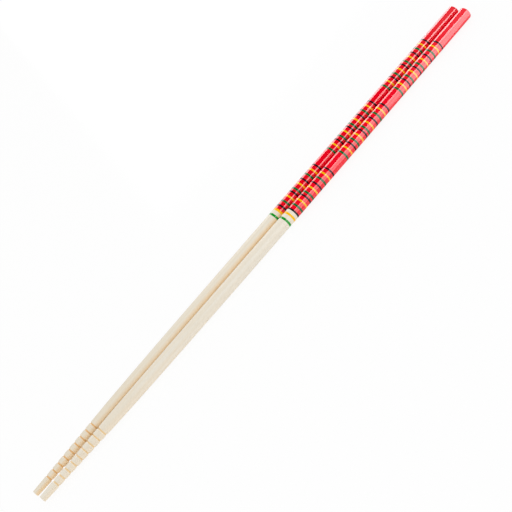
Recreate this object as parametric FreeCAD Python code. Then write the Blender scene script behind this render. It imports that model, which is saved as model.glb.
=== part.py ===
import FreeCAD, Part
import math
import os

# A pair of long cooking chopsticks, each turned on a lathe from one length of wood.
#
# Both lie flat on a table, side by side, heads together and tips a little apart.
# +X runs from the tips to the heads and +Z is up. The origin is on the table, under the
# middle of the pair. Seen from above with the heads up, the left stick is on the +Y side.
# All sizes are in millimetres, and places along a stick are measured from its tip.

# The turned shape
stick_length = 330.0
tip_diameter = 3.3
tip_edge_radius = 0.25
cone_length = 45.0
cone_diameter = 5.6
cone_ease = 18.0
taper_length = 165.0
taper_ease = 62.0
body_diameter = 7.0
head_edge_radius = 0.6

# The grooves round the cone, which hold food that slips
groove_count = 9
first_groove = 9.5
groove_pitch = 3.93
groove_width = 1.1
groove_depth = 0.42

# How the two lie beside each other
side_clearance = 0.1
tips_together_angle = 0.2
left_stick_lag = 0.6


def cone_radius(place):
    """The radius of the straight cone at a place, grooves left out."""
    slope = (cone_diameter - tip_diameter) / 2 / cone_length
    return tip_diameter / 2 + slope * place


def at(place, radius):
    """A point of the outline: the stick's own axis is X, and Z is the radius."""
    return FreeCAD.Vector(place, 0, radius)


def line(start, end):
    return Part.makeLine(start, end)


def arc(start, middle, end):
    return Part.Arc(start, middle, end).toShape()


def groove(centre):
    """The three corners of one V groove, from the tip side onwards."""
    lips = [at(centre + away, cone_radius(centre + away)) for away in (-groove_width / 2, groove_width / 2)]
    bottom = at(centre, cone_radius(centre) - groove_depth)
    return [lips[0], bottom, lips[1]]


def rounded_tip():
    """The tip's flat face and its rounded edge, from the axis outwards."""
    corner_radius = cone_radius(tip_edge_radius)
    slack = tip_edge_radius * math.sqrt(0.5)
    face_edge = at(0, corner_radius - tip_edge_radius)
    middle = at(tip_edge_radius - slack, corner_radius - tip_edge_radius + slack)
    return [line(at(0, 0), face_edge), arc(face_edge, middle, at(tip_edge_radius, corner_radius))]


def lines_through(corners):
    return [line(before, after) for before, after in zip(corners, corners[1:])]


def grooved_cone(start):
    """The cone from the end of the tip's edge to its own end, with a groove at each pitch."""
    corners = [start]
    for number in range(groove_count):
        corners.extend(groove(first_groove + number * groove_pitch))
    corners.append(at(cone_length, cone_diameter / 2))
    return lines_through(corners)


def long_taper():
    """A smooth swell that leaves the cone without a kink and meets the body level."""
    curve = Part.BezierCurve()
    curve.setPoles([
        at(cone_length, cone_diameter / 2),
        at(cone_length + cone_ease, cone_radius(cone_length + cone_ease)),
        at(taper_length - taper_ease, body_diameter / 2),
        at(taper_length, body_diameter / 2),
    ])
    return [curve.toShape()]


def body_and_head():
    """The cylinder, the head's rounded edge, and its flat face down to the axis."""
    radius = body_diameter / 2
    slack = head_edge_radius * math.sqrt(0.5)
    edge_start = at(stick_length - head_edge_radius, radius)
    middle = at(stick_length - head_edge_radius + slack, radius - head_edge_radius + slack)
    edge_end = at(stick_length, radius - head_edge_radius)
    return [
        line(at(taper_length, radius), edge_start),
        arc(edge_start, middle, edge_end),
        line(edge_end, at(stick_length, 0)),
    ]


def turned_stick():
    """One whole stick along X, with its tip's face at the origin."""
    tip = rounded_tip()
    edges = tip + grooved_cone(tip[-1].lastVertex().Point) + long_taper() + body_and_head()
    edges.append(line(at(stick_length, 0), at(0, 0)))
    face = Part.Face(Part.Wire(edges))
    return face.revolve(FreeCAD.Vector(0, 0, 0), FreeCAD.Vector(1, 0, 0), 360)


def laid_stick(side, stand_off, lag):
    """A stick on the table, turned so that the tips are drawn together."""
    turn = FreeCAD.Rotation(FreeCAD.Vector(0, 0, 1), side * tips_together_angle / 2)
    shoulder = FreeCAD.Vector(taper_length, 0, 0)
    seat = FreeCAD.Vector(taper_length - stick_length / 2 - lag, side * stand_off, body_diameter / 2)
    stick = turned_stick()
    stick.Placement = FreeCAD.Placement(seat - turn.multVec(shoulder), turn)
    return stick


def laid_pair(stand_off):
    """Both sticks, each with its axis that far from the middle at the shoulder."""
    return {
        "left_chopstick": laid_stick(1, stand_off, left_stick_lag / 2),
        "right_chopstick": laid_stick(-1, stand_off, -left_stick_lag / 2),
    }


# The pair is first laid well apart, and its gap is measured where it is narrowest. Then the
# sticks are drawn together until only the side clearance is left there.
apart = laid_pair(body_diameter)
gap_apart = apart["left_chopstick"].distToShape(apart["right_chopstick"])[0]
pair = laid_pair(body_diameter - (gap_apart - side_clearance) / 2)

os.makedirs("parts", exist_ok=True)
for name, stick in pair.items():
    stick.exportStep("parts/" + name + ".step")
    box = stick.optimalBoundingBox()
    print(name, "volume", round(stick.Volume, 1), "X", round(box.XMin, 2), round(box.XMax, 2),
          "Y", round(box.YMin, 2), round(box.YMax, 2), "Z", round(box.ZMin, 2), round(box.ZMax, 2))
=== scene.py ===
# %% [markdown]
# # A pair of long cooking chopsticks
#
# Two round sticks of pale wood lie side by side on a white table. Each one was turned on a
# lathe: nine grooves near the tip hold food that slips, and a long taper swells into a plain
# round handle. The handle end is dipped in red lacquer, and thin rings of green, yellow and
# black paint run round it.
#
# The imported model comes first. It is the frame: every place in this lesson is in metres in
# that frame, with +X from the tips to the heads and the table at Z = 0. The boxes of its parts
# are read later, to lay the sticks where the solids lie.

# %% Load the frame
import math
import random
import bpy
from mathutils import Matrix, Vector


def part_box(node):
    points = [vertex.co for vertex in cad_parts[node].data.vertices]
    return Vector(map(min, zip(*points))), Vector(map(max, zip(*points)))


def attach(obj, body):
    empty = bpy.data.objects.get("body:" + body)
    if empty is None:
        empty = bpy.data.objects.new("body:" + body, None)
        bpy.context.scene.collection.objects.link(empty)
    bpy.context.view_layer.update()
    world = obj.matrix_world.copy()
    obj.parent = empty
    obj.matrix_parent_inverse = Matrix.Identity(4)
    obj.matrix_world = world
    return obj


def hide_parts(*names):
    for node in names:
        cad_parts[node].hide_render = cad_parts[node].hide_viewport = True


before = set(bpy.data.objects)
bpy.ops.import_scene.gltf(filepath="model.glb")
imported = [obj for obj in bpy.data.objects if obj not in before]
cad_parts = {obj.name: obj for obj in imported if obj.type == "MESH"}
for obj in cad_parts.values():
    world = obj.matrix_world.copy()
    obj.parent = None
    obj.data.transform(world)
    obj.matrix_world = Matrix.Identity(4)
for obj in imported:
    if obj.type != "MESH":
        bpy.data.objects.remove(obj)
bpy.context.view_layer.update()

# %% [markdown]
# ## The camera
#
# The picture was taken from in front, nearer to the tips than to the heads, looking down at
# about 44 degrees. The sticks run from the lower left corner to the upper right one, because
# the camera was also rolled about its own line of sight. A camera can be aimed with a Track To
# constraint, but then its roll is awkward. Here its three axes are worked out from where it
# stands, where it looks and how far it is rolled. They fill the columns of its matrix.

# %% Place the camera
camera_place = Vector((-0.11253, -0.33556, 0.34236))
camera_aim = Vector((-0.01086, -0.003959, 0.0035))
camera_roll = math.radians(-37.035)
lens_mm, film_mm = 68.54, 36.0

sight = (camera_aim - camera_place).normalized()
level_right = sight.cross(Vector((0, 0, 1))).normalized()
level_up = level_right.cross(sight)
right = level_right * math.cos(camera_roll) + level_up * math.sin(camera_roll)
up = level_up * math.cos(camera_roll) - level_right * math.sin(camera_roll)

camera_data = bpy.data.cameras.new("camera")
camera_data.lens, camera_data.sensor_width = lens_mm, film_mm
camera_data.clip_start, camera_data.clip_end = 0.01, 50.0
camera = bpy.data.objects.new("camera", camera_data)
axes = Matrix((right, up, -sight)).transposed().to_4x4()
camera.matrix_world = Matrix.Translation(camera_place) @ axes
bpy.context.scene.collection.objects.link(camera)
bpy.context.scene.camera = camera
print("camera looks down at", round(math.degrees(math.asin(-sight.z)), 1), "degrees")

# %% [markdown]
# ## The outline that the lathe follows
#
# A turned piece is one outline spun round its axis, so its whole shape is a list of places
# along the stick and the radius at each. Blender's Screw modifier could spin such a line.
# Here the rings of the mesh are written directly, because each ring can then also carry what
# the finish needs to know: whether it lies in a groove, under lacquer or under a painted
# ring. The values are those of the solid model, in millimetres from the stick's own tip. No
# two turned sticks are quite alike, and the near one is a little thicker towards its tip.

# %% The turned shape
stick_length = 330.0
tip_diameter, tip_edge_radius = 3.3, 0.25
cone_length, cone_diameter, cone_ease = 45.0, 5.6, 18.0
taper_length, taper_ease = 165.0, 62.0
body_diameter, head_edge_radius = 7.0, 0.6
groove_count, first_groove, groove_pitch = 9, 9.5, 3.93
groove_width, groove_depth = 1.1, 0.42


def cone_radius(place):
    """The radius of the straight cone at a place, grooves left out."""
    slope = (cone_diameter - tip_diameter) / 2 / cone_length
    return tip_diameter / 2 + slope * place


def bezier(start, one, two, end, t):
    """One number of a cubic curve at t."""
    s = 1 - t
    return s ** 3 * start + 3 * s * s * t * one + 3 * s * t * t * two + t ** 3 * end


taper_steps = 60
ease_start, ease_end = cone_length + cone_ease, taper_length - taper_ease
taper = []
for step in range(taper_steps + 1):
    t = step / taper_steps
    place = bezier(cone_length, ease_start, ease_end, taper_length, t)
    radius = bezier(cone_diameter / 2, cone_radius(ease_start),
                    body_diameter / 2, body_diameter / 2, t)
    taper.append((place, radius))


def turned_radius(place):
    """The radius of the smooth turned stick at a place, without grooves and end rounds."""
    if place <= cone_length:
        return cone_radius(place)
    if place >= taper_length:
        return body_diameter / 2
    for (before, low), (after, high) in zip(taper, taper[1:]):
        if place <= after:
            return low + (high - low) * (place - before) / (after - before)


near_tip_swell, swell_end = 0.11, 110.0


def hand_swell(side, place):
    """How much thicker the near stick was left towards its tip, on the radius."""
    return 0.0 if side > 0 else near_tip_swell * max(0.0, 1 - place / swell_end)


print("radius at 0, 45, 100, 165 mm", [round(turned_radius(p), 3) for p in (0, 45, 100, 165)])

# %% [markdown]
# ## Grooves with worn lips
#
# The cutter leaves a V, and sanding and washing round its lips. A V is the height
# max(0, 1 - t), where t goes from 0 at the bottom to 1 at a lip. A square root smooths both
# of its corners, and a small number says how much. What is left of the square root's foot
# fades out a little way past the lips. All these lengths count in half widths of a groove.

# %% The form of one groove
bottom_softness, lip_softness = 0.12, 0.22
foot_end, foot_fade = 2.4, 1.2


def groove_share(place):
    """How deep a place lies in a groove: 0 on the stick's skin and 1 at the bottom."""
    number = round((place - first_groove) / groove_pitch)
    if not 0 <= number < groove_count:
        return 0.0
    away = abs(place - first_groove - number * groove_pitch) / (groove_width / 2)
    away = math.hypot(away, bottom_softness) - bottom_softness
    rise = 1 - away
    share = (rise + math.hypot(rise, lip_softness)) / 2
    fade = min(1.0, max(0.0, (foot_end - away) / foot_fade))
    return share * fade / ((1 + math.hypot(1, lip_softness)) / 2)


print("groove depth at its bottom", round(groove_depth * groove_share(first_groove), 3), "mm")

# %% [markdown]
# ## Where the paint lies
#
# The handle carries three groups of rings. Each group has four triplets, and each triplet is
# a green, a yellow and a black ring, from the tip side. A brush held against a turning stick
# draws them, so they are nearly true circles with slightly uneven edges, and no two groups
# have quite the same gaps. On bare wood the paint spreads a little, so the first triplet's
# rings are wider. The lacquer starts under the first black ring of the near stick. On the far
# stick it starts sooner, behind the first yellow ring, and that stick's whole pattern also
# sits a quarter of a millimetre nearer to its tip.

# %% Rings of paint and the edge of the lacquer
group_start, group_pitch, group_count = 176.96, 46.34, 3
triplet_starts = ((0.0, 9.35, 18.15, 28.15), (0.05, 9.3, 18.05, 27.9), (-0.15, 9.1, 18.25, 27.95))
ring_steps = {"green": 0.0, "yellow": 3.41, "black": 6.53}
ring_widths = {"green": 1.2, "yellow": 0.9, "black": 0.97}
first_ring_widths = {"green": 1.27, "yellow": 1.25, "black": 1.02}
first_black_nudge = -0.3
lacquer_overlap = 0.1
paints = list(ring_steps)
left_pattern_shift = -0.24


def rings_of(side):
    """Each painted ring of a stick: its paint and the places where it starts and ends."""
    shift = left_pattern_shift if side > 0 else 0.0
    found = []
    for group in range(group_count):
        for number, start in enumerate(triplet_starts[group]):
            for paint, step in ring_steps.items():
                middle = group_start + group * group_pitch + start + step + shift
                half = ring_widths[paint] / 2
                if group == number == 0:
                    half = first_ring_widths[paint] / 2
                    middle += first_black_nudge if paint == "black" else 0.0
                found.append((paint, middle - half, middle + half))
    return found


def lacquer_start(side):
    """Where the red lacquer begins: behind the first yellow ring, or under the first black."""
    yellow, black = rings_of(side)[1], rings_of(side)[2]
    return yellow[2] - lacquer_overlap if side > 0 else (black[1] + black[2]) / 2


print("rings on each stick", len(rings_of(1)))
print("lacquer starts at", [round(lacquer_start(side), 2) for side in (1, -1)], "mm")

# %% [markdown]
# ## The rings of the mesh
#
# The mesh needs many rings where the outline turns sharply, and few on the plain body. Paint
# and lacquer have a thickness, a few hundredths of a millimetre, so each of their edges is a
# small step with a ring of the mesh on both sides of it. Two more rings stand close beside
# every step. Without them the smooth shading would bend the reflections over the whole
# distance to the next ring.

# %% Choose the places of the mesh's rings
step_half, guard = 0.03, 0.09
lacquer_thickness, paint_thickness = 0.03, 0.012
bare_depth = lacquer_thickness + paint_thickness
groove_offsets = (0.0, 0.05, 0.12, 0.22, 0.34, 0.44, 0.52, 0.6, 0.7, 0.85, 1.05)
plain_steps, body_step, closest_rings = 12, 12.0, 0.015


def edge_places(edge):
    """The rings of the mesh at one edge of paint or lacquer."""
    return [edge - guard, edge - step_half, edge + step_half, edge + guard]


def station_places(side):
    """The sorted places along the stick, between the two end rounds."""
    places = {tip_edge_radius, stick_length - head_edge_radius}
    places.update(place for place, radius in taper)
    for number in range(groove_count):
        middle = first_groove + number * groove_pitch
        for away in groove_offsets:
            places.update((middle - away, middle + away))
    for paint, start, end in rings_of(side):
        places.update(edge_places(start) + edge_places(end))
    places.update(edge_places(lacquer_start(side)))
    for step in range(1, plain_steps):
        places.add(first_groove * step / plain_steps)
        places.add(taper_length + body_step * step)
    ordered = []
    for place in sorted(places):
        if place < stick_length - head_edge_radius + 1e-6:
            if not ordered or place - ordered[-1] > closest_rings:
                ordered.append(place)
    return ordered


def share_between(place, start, end):
    """1 between two edges and 0 outside them, with a short slope at each edge."""
    rise = (place - start + step_half) / (2 * step_half)
    fall = (end + step_half - place) / (2 * step_half)
    return min(1.0, max(0.0, min(rise, fall)))


print("mesh rings", [len(station_places(side)) for side in (1, -1)])

# %% [markdown]
# ## Spinning the outline
#
# Each mesh ring is 96 points. A point is worked out in the stick's own straight frame first,
# and that place is stored in an attribute named turned, in millimetres, so that the wood's
# grain is fixed to the stick wherever it lies. Other attributes say how deep the point is in
# a groove, and how much lacquer and which paint covers it.
#
# Each ring of paint gets a small tilt and a small wave, from a seeded random generator, as a
# hand-held brush leaves it. The wave moves the mesh itself, so the step in the surface and
# the edge of the colour stay together. Both end faces are hollow by a hair's breadth.

# %% Spin one stick
around_count = 96
tau = 2 * math.pi
tilt_range, ripple_range, wave_reach = (0.01, 0.045), (0.004, 0.014), 1.4
tip_hollow, head_hollow = 0.02, 0.03
tip_round_steps, head_round_steps = 6, 9
face_rings = (0.25, 0.5, 0.75, 0.94)


class Stick:
    """One turned stick as lists of points, faces and what each point is made of."""

    def __init__(self, side, seed):
        self.side = side
        self.draw = random.Random(seed)
        self.rings = rings_of(side)
        self.lacquer = lacquer_start(side)
        self.points, self.faces = [], []
        self.groove, self.lacquered, self.paint = [], [], []
        self.last_ring = None
        self.waves = [(self.draw.uniform(*tilt_range), self.draw.uniform(0, tau),
                       self.draw.uniform(*ripple_range), self.draw.uniform(0, tau))
                      for ring in self.rings]

    def cover(self, place):
        """Lacquer, and each paint, over a place: numbers from 0 to 1."""
        lacquer = share_between(place, self.lacquer, stick_length + 1)
        shares = dict.fromkeys(paints, 0.0)
        for paint, start, end in self.rings:
            if start - 1 < place < end + 1:
                shares[paint] = max(shares[paint], share_between(place, start, end))
        return lacquer, shares

    def wave(self, place, angle):
        """How far the nearest painted ring wanders along the stick at an angle round it."""
        number = min(range(len(self.rings)),
                     key=lambda n: abs(place - (self.rings[n][1] + self.rings[n][2]) / 2))
        start, end = self.rings[number][1:]
        near = 1 - min(1.0, abs(place - (start + end) / 2) / wave_reach)
        tilt, turn, ripple, shift = self.waves[number]
        return near * (tilt * math.cos(angle + turn) + ripple * math.cos(3 * angle + shift))

    def add_ring(self, place, radius, groove=0.0, plain=False):
        """One more ring of points, joined to the last one by a band of faces."""
        first = len(self.points)
        lacquer, shares = self.cover(place)
        steady = plain or place < self.rings[0][1] - wave_reach
        for step in range(around_count):
            angle = tau * step / around_count
            along = place if steady else place + self.wave(place, angle)
            self.points.append((along, radius * math.cos(angle), radius * math.sin(angle)))
            self.note(groove, lacquer, shares)
        if self.last_ring is not None:
            for step in range(around_count):
                after = (step + 1) % around_count
                self.faces.append((self.last_ring + step, first + step,
                                   first + after, self.last_ring + after))
        self.last_ring = first

    def note(self, groove, lacquer, shares):
        """Keeps what one more point is made of."""
        self.groove.append(groove)
        self.lacquered.append(lacquer)
        self.paint.append([shares[paint] for paint in paints] + [1.0])

    def add_centre(self, place, closing):
        """The point on the axis that closes an end."""
        centre = len(self.points)
        lacquer, shares = self.cover(place)
        self.points.append((place, 0.0, 0.0))
        self.note(0.0, lacquer, shares)
        ring = self.last_ring if closing else centre + 1
        for step in range(around_count):
            here, after = ring + step, ring + (step + 1) % around_count
            self.faces.append((here, centre, after) if closing else (centre, here, after))

    def spin(self):
        """The whole stick, from the tip's face to the head's face."""
        skin = -bare_depth
        self.add_centre(tip_hollow, False)
        corner = cone_radius(tip_edge_radius) + hand_swell(self.side, 0) + skin - tip_edge_radius
        for share in face_rings:
            self.add_ring(tip_hollow * (1 - share), corner * share, plain=True)
        for step in range(tip_round_steps + 1):
            angle = math.pi / 2 * step / tip_round_steps
            self.add_ring(tip_edge_radius * (1 - math.cos(angle)),
                          corner + tip_edge_radius * math.sin(angle), plain=True)
        for place in station_places(self.side)[1:]:
            share = groove_share(place)
            lacquer, shares = self.cover(place)
            covering = lacquer_thickness * lacquer + paint_thickness * max(shares.values())
            radius = turned_radius(place) + hand_swell(self.side, place) + skin + covering
            radius -= groove_depth * share
            self.add_ring(place, radius, share)
        corner = body_diameter / 2 - paint_thickness - head_edge_radius
        start = stick_length - head_edge_radius
        for step in range(1, head_round_steps + 1):
            angle = math.pi / 2 * step / head_round_steps
            self.add_ring(start + head_edge_radius * math.sin(angle),
                          corner + head_edge_radius * math.cos(angle), plain=True)
        for share in reversed(face_rings):
            self.add_ring(stick_length - head_hollow * (1 - share), corner * share, plain=True)
        self.add_centre(stick_length - head_hollow, True)


sticks = {}
for name, side, seed in (("left_chopstick", 1, 11), ("right_chopstick", -1, 23)):
    sticks[name] = Stick(side, seed)
    sticks[name].spin()
    print(name, "points", len(sticks[name].points), "faces", len(sticks[name].faces))

# %% [markdown]
# ## Laying the sticks on the table
#
# The solid model turns each stick by a tenth of a degree, so that the tips are drawn
# together, and sets it beside the other with a tenth of a millimetre between them. The same
# turn is made here. How far each stick stands off the middle is read from its box in the
# frame, so it can't disagree with the solid.
#
# No long wooden stick stays quite straight. The near one has taken a bow of about three
# quarters of a millimetre, with both ends nearer to the other stick. A parabola gives it.

# %% Lay both sticks
tips_together_angle, left_stick_lag = 0.2, 0.6
near_stick_bow = {"tip": 0.80, "head": 0.42, "depth": 0.76}
mm = 0.001


def bow(side, place):
    """How far the stick's axis lies off its straight line, towards +Y, in millimetres."""
    if side > 0:
        return 0.0
    x = place / stick_length
    ends = near_stick_bow["tip"] + (near_stick_bow["head"] - near_stick_bow["tip"]) * x
    return ends - 4 * near_stick_bow["depth"] * x * (1 - x)


def laid_points(name, stick):
    """The stick's points in the frame, in metres."""
    low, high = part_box(name)
    turn = math.radians(stick.side * tips_together_angle / 2)
    along = Vector((math.cos(turn), math.sin(turn), 0))
    across = Vector((-math.sin(turn), math.cos(turn), 0))
    outer = max(high[1] / mm, -low[1] / mm)
    reach = stick_length - head_edge_radius - taper_length
    stand_off = outer - body_diameter / 2 * math.cos(turn) - abs(math.sin(turn)) * reach
    shoulder = Vector((taper_length - stick_length / 2 - stick.side * left_stick_lag / 2,
                       stick.side * stand_off, body_diameter / 2))
    print(name, "stands off the middle by", round(stand_off, 4), "mm at its shoulder")
    laid = []
    for place, y, z in stick.points:
        point = shoulder + along * (place - taper_length) + across * (y + bow(stick.side, place))
        laid.append((point + Vector((0, 0, z))) * mm)
    return laid


def fill_attribute(mesh, name, kind, field, values):
    """Stores one value for each point. Values that are lists are laid end to end."""
    attribute = mesh.attributes.new(name, kind, "POINT")
    flat = [v for value in values for v in value] if field != "value" else values
    attribute.data.foreach_set(field, flat)


pieces = {}
for name, stick in sticks.items():
    mesh = bpy.data.meshes.new(name + "_turned")
    mesh.from_pydata(laid_points(name, stick), [], stick.faces)
    mesh.polygons.foreach_set("use_smooth", [True] * len(mesh.polygons))
    fill_attribute(mesh, "turned", "FLOAT_VECTOR", "vector", stick.points)
    fill_attribute(mesh, "groove", "FLOAT", "value", stick.groove)
    fill_attribute(mesh, "lacquer", "FLOAT", "value", stick.lacquered)
    fill_attribute(mesh, "paint", "FLOAT_COLOR", "color", stick.paint)
    mesh.update()
    piece = bpy.data.objects.new(name + "_turned", mesh)
    bpy.context.scene.collection.objects.link(piece)
    pieces[name] = piece
    print(piece.name, "size in mm", [round(v / mm, 2) for v in piece.dimensions])

# %% [markdown]
# ## Arithmetic on a surface
#
# A finish is a recipe: this much tan where the grain is dark, red where the lacquer lies. In
# Blender each sum in it is a Math node. Wiring those by hand hides the recipe, so the small
# class below wraps a node's output and lets Python's own signs add the nodes. Finish makes
# any other node, from its type, its settings and its sockets.

# %% Write shader sums as Python


class Wire:
    """A number that varies over a surface. The signs + - * make Math nodes."""

    def __init__(self, finish, socket):
        self.finish, self.socket = finish, socket

    def sum(self, operation, first, second):
        return self.finish.node("ShaderNodeMath", {"operation": operation}, {0: first, 1: second})

    def __add__(self, other):
        return self.sum("ADD", self, other)

    def __radd__(self, other):
        return self.sum("ADD", other, self)

    def __sub__(self, other):
        return self.sum("SUBTRACT", self, other)

    def __rsub__(self, other):
        return self.sum("SUBTRACT", other, self)

    def __mul__(self, other):
        return self.sum("MULTIPLY", self, other)

    def __rmul__(self, other):
        return self.sum("MULTIPLY", other, self)

    def sine(self):
        return self.sum("SINE", self, 0.0)

    def greater(self, other):
        return self.sum("MAXIMUM", self, other)


class Finish:
    """The nodes of one material or of the world."""

    def __init__(self, owner):
        owner.use_nodes = True
        self.owner, self.tree = owner, owner.node_tree

    def node(self, kind, settings=None, sockets=None, output=0):
        """Adds a node, sets its settings and then its sockets, and wraps one output."""
        made = self.tree.nodes.new(kind)
        for name, value in (settings or {}).items():
            setattr(made, name, value)
        for key, value in (sockets or {}).items():
            self.feed(made.inputs[key], value)
        return Wire(self, made.outputs[output])

    def feed(self, socket, value):
        """Links a wire to a socket, or sets the socket to a plain value."""
        if isinstance(value, Wire):
            self.tree.links.new(value.socket, socket)
        elif isinstance(value, tuple) and len(value) == 3 and socket.type == "RGBA":
            socket.default_value = value + (1.0,)
        else:
            socket.default_value = value

    def parts(self, kind, value):
        """The separate numbers of a vector or a colour."""
        first = self.node(kind, {}, {0: value})
        return [Wire(self, output) for output in first.socket.node.outputs]

    def mixed(self, share, under, over):
        """The colour under, covered by the colour over by a share."""
        return self.node("ShaderNodeMix", {"data_type": "RGBA"}, {0: share, 6: under, 7: over}, 2)

    def stretched(self, vector, factors):
        """A vector with each of its parts multiplied, for grain that runs along the stick."""
        return self.node("ShaderNodeVectorMath", {"operation": "MULTIPLY"}, {
            0: vector, 1: factors})

    def noise(self, vector, detail=2.0, roughness=0.5):
        """Noise whose size is left to the stretching of its vector."""
        return self.node("ShaderNodeTexNoise", {}, {
            "Vector": vector, "Scale": 1.0, "Detail": detail, "Roughness": roughness})

    def ramp(self, value, low, high):
        """0 below low, 1 above high, and a soft slope between them."""
        return self.node("ShaderNodeMapRange", {"interpolation_type": "SMOOTHSTEP"}, {
            "Value": value, "From Min": low, "From Max": high})


print("shader helpers are ready")

# %% [markdown]
# ## The finish of a stick
#
# The wood is pale, with fibres that run the whole length. In a real log the growth layers are
# sheets, and turning a stick from it cuts them at every angle: long streaks where the cut
# runs along a sheet, fine lines where it runs across. Working the layers out in the stick's
# own space gives both, and also the arcs on the end grain of the tip. Stretched noise adds
# fibres and the short dark pores between them. Towards the tips the wood turns more tan. The
# side of each stick that faces -Y, most of all the far stick's side towards the near one, is
# painted a warm bright orange: a painted glow for light bounced into that shaded side.
#
# The grooves are painted a warm brown, a painted shade for their hollows with the warm glow of
# light bounced inside them, deeper on the far stick. The lacquer is a thick glossy red, about
# twice as strong a mirror as plain varnish. Paint is brightest on bare wood and deeper over the
# red, which shows through it. Bare wood drinks up the gloss of the paint, and over the red the
# black stays duller than the green, while the yellow is as glossy as the lacquer.

# %% Mix the finish
cream = {"left_chopstick": (0.86, 0.81, 0.70), "right_chopstick": (0.87, 0.825, 0.725)}
tip_tint = {"left_chopstick": 0.40, "right_chopstick": 0.16}
tan = (0.80, 0.68, 0.50)
peach = (0.85, 0.72, 0.54)
# Painted glow: a warm orange for light bounced into the shaded side of each stick that faces -Y
heartwood = (0.93, 0.67, 0.38)
pore_brown = (0.70, 0.42, 0.16)
# Painted shade: a warm brown for the shade and the bounced warm light inside the grooves
painted_groove_shade = {"left_chopstick": (0.82, 0.47, 0.16), "right_chopstick": (0.88, 0.62, 0.30)}
lacquer_red = {"left_chopstick": (0.885, 0.001, 0.014), "right_chopstick": (0.975, 0.003, 0.02)}
paint_on_wood = {
    "green": (0.0, 0.32, 0.014),
    "yellow": (1.0, 0.55, 0.003),
    "black": (0.012, 0.008, 0.008),
}
paint_on_red = {
    "green": (0.006, 0.14, 0.028),
    "yellow": (1.0, 0.55, 0.003),
    "black": (0.02, 0.005, 0.006),
}
dull_on_red = {"green": 0.28, "yellow": 0.0, "black": 0.52}
dull_on_wood = {"green": 0.45, "yellow": 0.75, "black": 0.75}
# The side that the painted glow lies on: -Y, tilted a little down
seam_glow_side = (0.0, -math.cos(math.radians(10)), -math.sin(math.radians(10)))
tip_side_fade = (20.0, 170.0)
layer_spacing, layer_waver, seam_glow_waver = 1.7, 3.2, 0.25
# How fast each pattern of the wood changes, for a millimetre along the stick and across it
slow_grain, fibre_grain = (0.006, 0.16, 0.16), (0.018, 2.6, 2.6)
patch_grain, pore_grain = (0.012, 0.35, 0.35), (0.11, 5.5, 5.5)
# Where each mark of the wood, and each painted glow or shade, sets in and where it is full, and
# how strongly it shows then
edges = {"patches": (0.46, 0.68), "fibres": (0.42, 0.75), "pores": (0.63, 0.74),
         "heartwood": (0.38, 1.1), "groove": (0.18, 0.78)}
strengths = {"layers": 0.27, "patches": 0.3, "fibres": 0.34, "pores": 0.2, "groove": 0.9}


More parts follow.
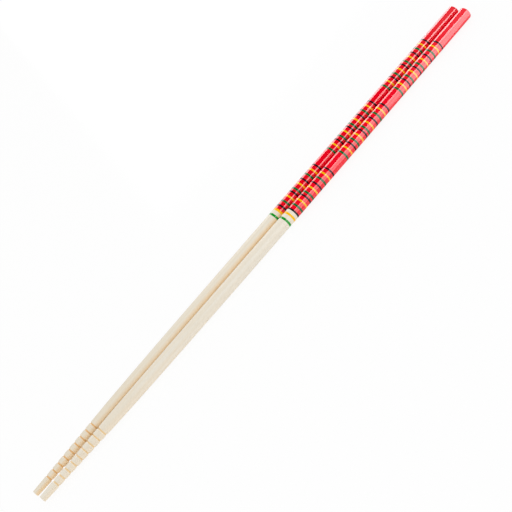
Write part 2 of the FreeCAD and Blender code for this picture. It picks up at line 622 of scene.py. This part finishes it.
def stick_finish(name, turn, offset, tip_seam_glow, handle_seam_glow):
    """The material of one stick. turn and offset place its wood in the log, and the last two are
    how strongly the side towards -Y is painted with a warm glow that stands in for light
    bounced into that shaded side, at the tip and at the handle."""
    finish = Finish(bpy.data.materials.new(name.replace("chopstick", "stick_finish")))
    turned = finish.node("ShaderNodeAttribute", {"attribute_name": "turned"}, output=1)
    lacquer = finish.node("ShaderNodeAttribute", {"attribute_name": "lacquer"}, output=2)
    groove = finish.node("ShaderNodeAttribute", {"attribute_name": "groove"}, output=2)
    paint = finish.node("ShaderNodeAttribute", {"attribute_name": "paint"}, output=0)
    placed = finish.node("ShaderNodeVectorMath", {"operation": "ADD"}, {0: turned, 1: offset})

    slow = finish.noise(finish.stretched(placed, slow_grain), 3.0)
    across, upward = finish.parts("ShaderNodeSeparateXYZ", placed)[1:]
    from_tip = finish.parts("ShaderNodeSeparateXYZ", turned)[0]
    tip_side = 1 - finish.ramp(from_tip, *tip_side_fade)
    depth = across * math.cos(turn) + upward * math.sin(turn) + slow * layer_waver
    layers = (depth * (tau / layer_spacing)).sine() * 0.5 + 0.5
    fibres = finish.noise(finish.stretched(placed, fibre_grain), 4.0, 0.6)
    patches = finish.noise(finish.stretched(placed, patch_grain))
    pores = finish.ramp(finish.noise(finish.stretched(placed, pore_grain)), *edges["pores"])

    outward = finish.node("ShaderNodeVectorMath", {"operation": "NORMALIZE"}, {
        0: finish.stretched(turned, (0.0, 1.0, 1.0))})
    facing = finish.node("ShaderNodeVectorMath", {"operation": "DOT_PRODUCT"}, {
        0: outward, 1: seam_glow_side}, output="Value")

    wood = finish.mixed(tip_side * tip_tint[name], cream[name], tan)
    wood = finish.mixed(layers * strengths["layers"], wood, tan)
    patchy = finish.ramp(patches, *edges["patches"]) * strengths["patches"]
    wood = finish.mixed(patchy, wood, peach)
    fibrous = finish.ramp(fibres, *edges["fibres"]) * strengths["fibres"]
    wood = finish.mixed(fibrous, wood, tan)
    # Painted glow on the side facing -Y, strongest on the far stick where it faces the near one
    flank = tip_side * (tip_seam_glow - handle_seam_glow) + handle_seam_glow
    warm = finish.ramp(facing + slow * seam_glow_waver, *edges["heartwood"]) * flank
    wood = finish.mixed(warm, wood, heartwood)
    wood = finish.mixed(pores * strengths["pores"], wood, pore_brown)
    # Painted shade with a warm glow in the grooves, deeper on the far stick
    groove_shade_share = finish.ramp(groove, *edges["groove"]) * strengths["groove"]
    wood = finish.mixed(groove_shade_share, wood, painted_groove_shade[name])

    shares = dict(zip(paints, finish.parts("ShaderNodeSeparateColor", paint)))
    colour = finish.mixed(lacquer, wood, lacquer_red[name])
    painted, dull = 0.0, 0.0
    for paint_name, share in shares.items():
        tone = finish.mixed(lacquer, paint_on_wood[paint_name], paint_on_red[paint_name])
        colour = finish.mixed(share, colour, tone)
        painted = share.greater(painted)
        on_red, on_wood = dull_on_red[paint_name], dull_on_wood[paint_name]
        dull = (share * (lacquer * (on_red - on_wood) + on_wood)).greater(dull)
    coating = lacquer.greater(painted)

    bump = finish.node("ShaderNodeBump", {}, {
        "Strength": 0.35, "Distance": 0.00004, "Height": fibres * 0.6 - pores * 0.5})
    bare = finish.node("ShaderNodeBsdfPrincipled", {}, {
        "Base Color": wood, "Roughness": fibres * 0.16 + 0.36, "Normal": bump})
    glossy = finish.node("ShaderNodeBsdfPrincipled", {}, {
        "Base Color": colour, "Roughness": 0.035, "Specular IOR Level": 1.0})
    flat = finish.node("ShaderNodeBsdfPrincipled", {}, {
        "Base Color": colour, "Roughness": 0.5, "Specular IOR Level": 0.1})
    coated = finish.node("ShaderNodeMixShader", {}, {0: dull, 1: glossy, 2: flat})
    surface = finish.node("ShaderNodeMixShader", {}, {0: coating, 1: bare, 2: coated})
    finish.feed(finish.tree.nodes["Material Output"].inputs["Surface"], surface)
    finish.tree.nodes.remove(finish.tree.nodes["Principled BSDF"])
    return finish.owner


finishes = {
    "left_chopstick": stick_finish("left_chopstick", turn=0.6, offset=(140.0, 17.0, 4.0),
                                   tip_seam_glow=0.7, handle_seam_glow=1.0),
    "right_chopstick": stick_finish("right_chopstick", turn=2.1, offset=(610.0, -9.0, 22.0),
                                    tip_seam_glow=0.22, handle_seam_glow=0.0),
}
for name, piece in pieces.items():
    piece.data.materials.append(finishes[name])
    print(piece.name, "nodes", len(finishes[name].node_tree.nodes))

# %% [markdown]
# ## The table
#
# The sticks lie on white. A white table that is only lit would come out grey or would need
# so much light that the wood burns out. So the table shines to the camera by itself and is
# lit for the rest, which keeps a faint shadow under the sticks. To the lacquer it is dimmer,
# but brighter beside the heads, where the photograph shows a paler underside.

# %% Make the table
table_half = 3.0
table_mesh = bpy.data.meshes.new("table")
corners = [(x * table_half, y * table_half, 0) for x, y in ((-1, -1), (1, -1), (1, 1), (-1, 1))]
table_mesh.from_pydata(corners, [], [(0, 1, 2, 3)])
table = bpy.data.objects.new("table", table_mesh)
bpy.context.scene.collection.objects.link(table)

own_light_share, mirror_dimming, head_light, bounced_light = 0.91, 0.18, 2.3, 0.27
heads_along, heads_across = (0.07, 0.13), (-0.0095, -0.0125)
white = Finish(bpy.data.materials.new("white_table"))
seen = white.node("ShaderNodeLightPath", output="Is Camera Ray")
mirrored = white.node("ShaderNodeLightPath", output="Is Glossy Ray")
bounced = white.node("ShaderNodeLightPath", output="Is Diffuse Ray")
dark = white.node("ShaderNodeEmission", {}, {"Strength": 0.0})


def glow(strength):
    """A white light of a plain strength."""
    return white.node("ShaderNodeEmission", {}, {"Color": (1.0, 1.0, 1.0), "Strength": strength})


paper = white.tree.nodes["Principled BSDF"]
paper.inputs["Base Color"].default_value = (0.96, 0.96, 0.96, 1.0)
paper.inputs["Roughness"].default_value = 0.1
lit = white.node("ShaderNodeMixShader", {}, {
    0: mirrored * mirror_dimming, 1: Wire(white, paper.outputs[0]), 2: dark})
surface = white.node("ShaderNodeMixShader", {}, {0: seen * own_light_share, 1: lit, 2: glow(1.0)})
spot = white.node("ShaderNodeNewGeometry", output="Position")
along, across = white.parts("ShaderNodeSeparateXYZ", spot)[:2]
by_heads = white.ramp(along, *heads_along) * white.ramp(across, *heads_across)
for share, strength in ((mirrored * by_heads, head_light), (bounced, bounced_light)):
    more = white.node("ShaderNodeMixShader", {}, {0: share, 1: dark, 2: glow(strength)})
    surface = white.node("ShaderNodeAddShader", {}, {0: surface, 1: more})
white.feed(white.tree.nodes["Material Output"].inputs["Surface"], surface)
table_mesh.materials.append(white.owner)
print("table is", 2 * table_half, "m wide, with", len(white.tree.nodes), "nodes")

# %% [markdown]
# ## The room
#
# The room is white to the camera and lights everything evenly. In the lacquer it shows as a
# white wall that fades into a dim ceiling, and the ceiling is lit on the side of the heads.

# %% Make the room
wall_level, ceiling_level, dark_level, fill_level = 0.85, 0.37, 0.012, 0.985
wall_top, lit_side, lit_height = (0.12, 0.42), (0.40, 0.56), (0.5, 0.65)
room = Finish(bpy.data.worlds.new("room"))
bpy.context.scene.world = room.owner
direction = room.node("ShaderNodeTexCoord", output="Generated")
towards_heads, _, height = room.parts("ShaderNodeSeparateXYZ", direction)
wall = 1 - room.ramp(height, *wall_top)
lit_part = room.ramp(towards_heads, *lit_side) * room.ramp(height, *lit_height)
ceiling = lit_part * ceiling_level + dark_level
mirrored = room.node("ShaderNodeLightPath", output="Is Glossy Ray")
seen = room.node("ShaderNodeLightPath", output="Is Camera Ray")
in_mirror = (wall_level - ceiling) * wall + ceiling
level = (in_mirror - fill_level) * mirrored + fill_level
level = level.greater(seen)
background = room.tree.nodes["Background"]
background.inputs["Color"].default_value = (1.0, 1.0, 1.0, 1.0)
room.feed(background.inputs["Strength"], level)
print("room lights the sticks at level", fill_level)

# %% [markdown]
# ## The lamps
#
# A round glossy stick is a long curved mirror. Each lamp shows in it as a stripe, and the
# stripe's place and width tell where the lamp stands. The photograph shows a broad stripe on
# the near side of the near stick, so a tall softbox stands in front on the head side. A thin
# bright rim on the far side comes from a low lamp behind.
#
# On the far stick the front stripe is narrow, as if the softbox ended higher up. So the
# softbox is hung in two halves, and the lower half lights the near stick alone. The lamps
# show in mirrors only, because the even white room already lights the sticks on all sides.

# %% Hang the lamps


def softbox(name, place, aim, width, tall, brightness, across, upwards):
    """A rectangular lamp that faces the aim. brightness is its radiance in the middle, and
    across and upwards say by what share it rises to one side and to the top."""
    data = bpy.data.lights.new(name, "AREA")
    data.shape, data.size, data.size_y = "RECTANGLE", width, tall
    data.energy = brightness * math.pi * width * tall
    lamp = bpy.data.objects.new(name, data)
    way = Vector(aim) - Vector(place)
    lamp.rotation_euler = way.to_track_quat("-Z", "Y").to_euler()
    lamp.location = place
    glow = Finish(data)
    where = glow.node("ShaderNodeNewGeometry", output="Parametric")
    side, top = glow.parts("ShaderNodeSeparateXYZ", where)[:2]
    level = (side * 2 - 1) * across + (top * 2 - 1) * upwards + 1
    glow.feed(glow.tree.nodes["Emission"].inputs["Strength"], level)
    bpy.context.scene.collection.objects.link(lamp)
    print(name, "at", place, "energy", round(data.energy, 1), "W")
    return lamp


def keep_for(lamp, chosen):
    """Lets a lamp light one object only, by light linking."""
    lit = bpy.data.collections.new(lamp.name + "_lights")
    lit.objects.link(chosen)
    lamp.light_linking.receiver_collection = lit


upper = softbox("front_softbox", (0.4245, -0.475, 0.67), aim=(0.3061, 0.0108, 0.67), width=0.64,
                tall=0.5, brightness=3.88, across=0.45, upwards=0.11)
lower = softbox("low_softbox", (0.4245, -0.475, 0.21), aim=(0.3061, 0.0108, 0.21), width=0.64,
                tall=0.42, brightness=2.68, across=0.56, upwards=0.12)
keep_for(lower, pieces["right_chopstick"])
rim = softbox("back_lamp", (0.45, 0.8, 0.32), aim=(0.45, 0.0, 0.32), width=0.6,
              tall=0.58, brightness=3.3, across=-0.3, upwards=0.1)
for lamp in (upper, lower, rim):
    lamp.visible_diffuse = False

# %% [markdown]
# ## Tying the sticks to the frame
#
# The colours are shown as they are mixed, with Blender's Standard view. Each stick rides on
# the one body of the frame and stands for its solid, which is hidden.

# %% Tie the pieces to the frame
bpy.context.scene.view_settings.view_transform = "Standard"
for name, piece in pieces.items():
    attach(piece, "root")
    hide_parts(name)

bpy.context.view_layer.update()
